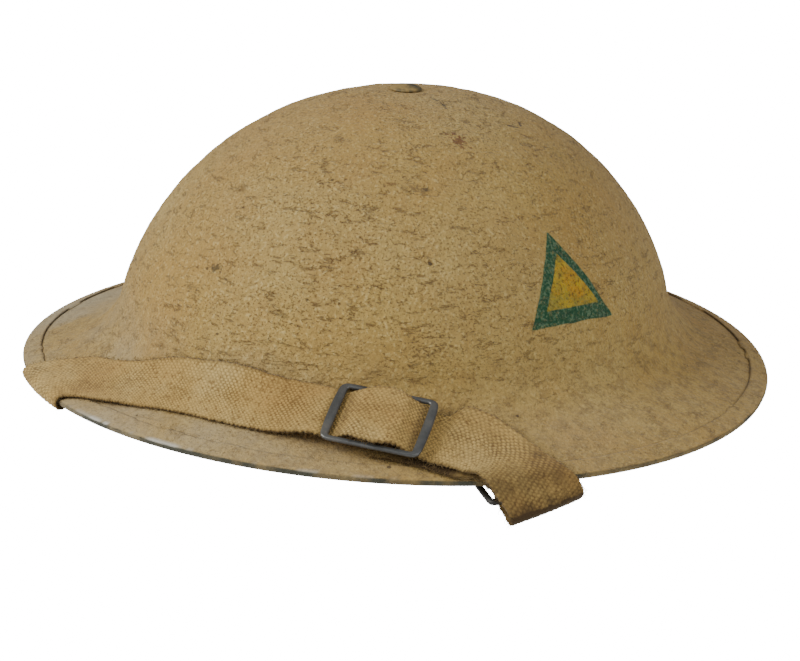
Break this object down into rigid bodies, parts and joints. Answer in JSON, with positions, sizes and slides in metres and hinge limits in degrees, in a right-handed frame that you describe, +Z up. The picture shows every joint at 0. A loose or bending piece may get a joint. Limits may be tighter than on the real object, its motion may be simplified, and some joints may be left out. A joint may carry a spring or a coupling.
{
  "type": "brimmed steel helmet",
  "caption": "Wide-brimmed shallow-bowl steel helmet with rough sand paint, a rim binding and a webbing chin strap with a slide buckle stowed over the front of the brim.",
  "frame": {"origin": "centre of the head opening, where the bowl meets the brim", "axes": "+Z up through the crown, -Y towards the front, +X towards the wearer's left"},
  "size_m": [0.3062, 0.3082, 0.1256],
  "materials": {
    "painted_steel": "rough",
    "dark_steel": "satin",
    "webbing": "matte"
  },
  "bodies": {
    "root": {"shell": "painted_steel", "rim_binding": "painted_steel", "crown_screw": "dark_steel", "strap": "webbing", "buckle": "dark_steel", "lug_right": "dark_steel", "lug_left": "dark_steel", "strap_ring": "dark_steel", "strap_tab": "webbing"}
  },
  "joints": []
}
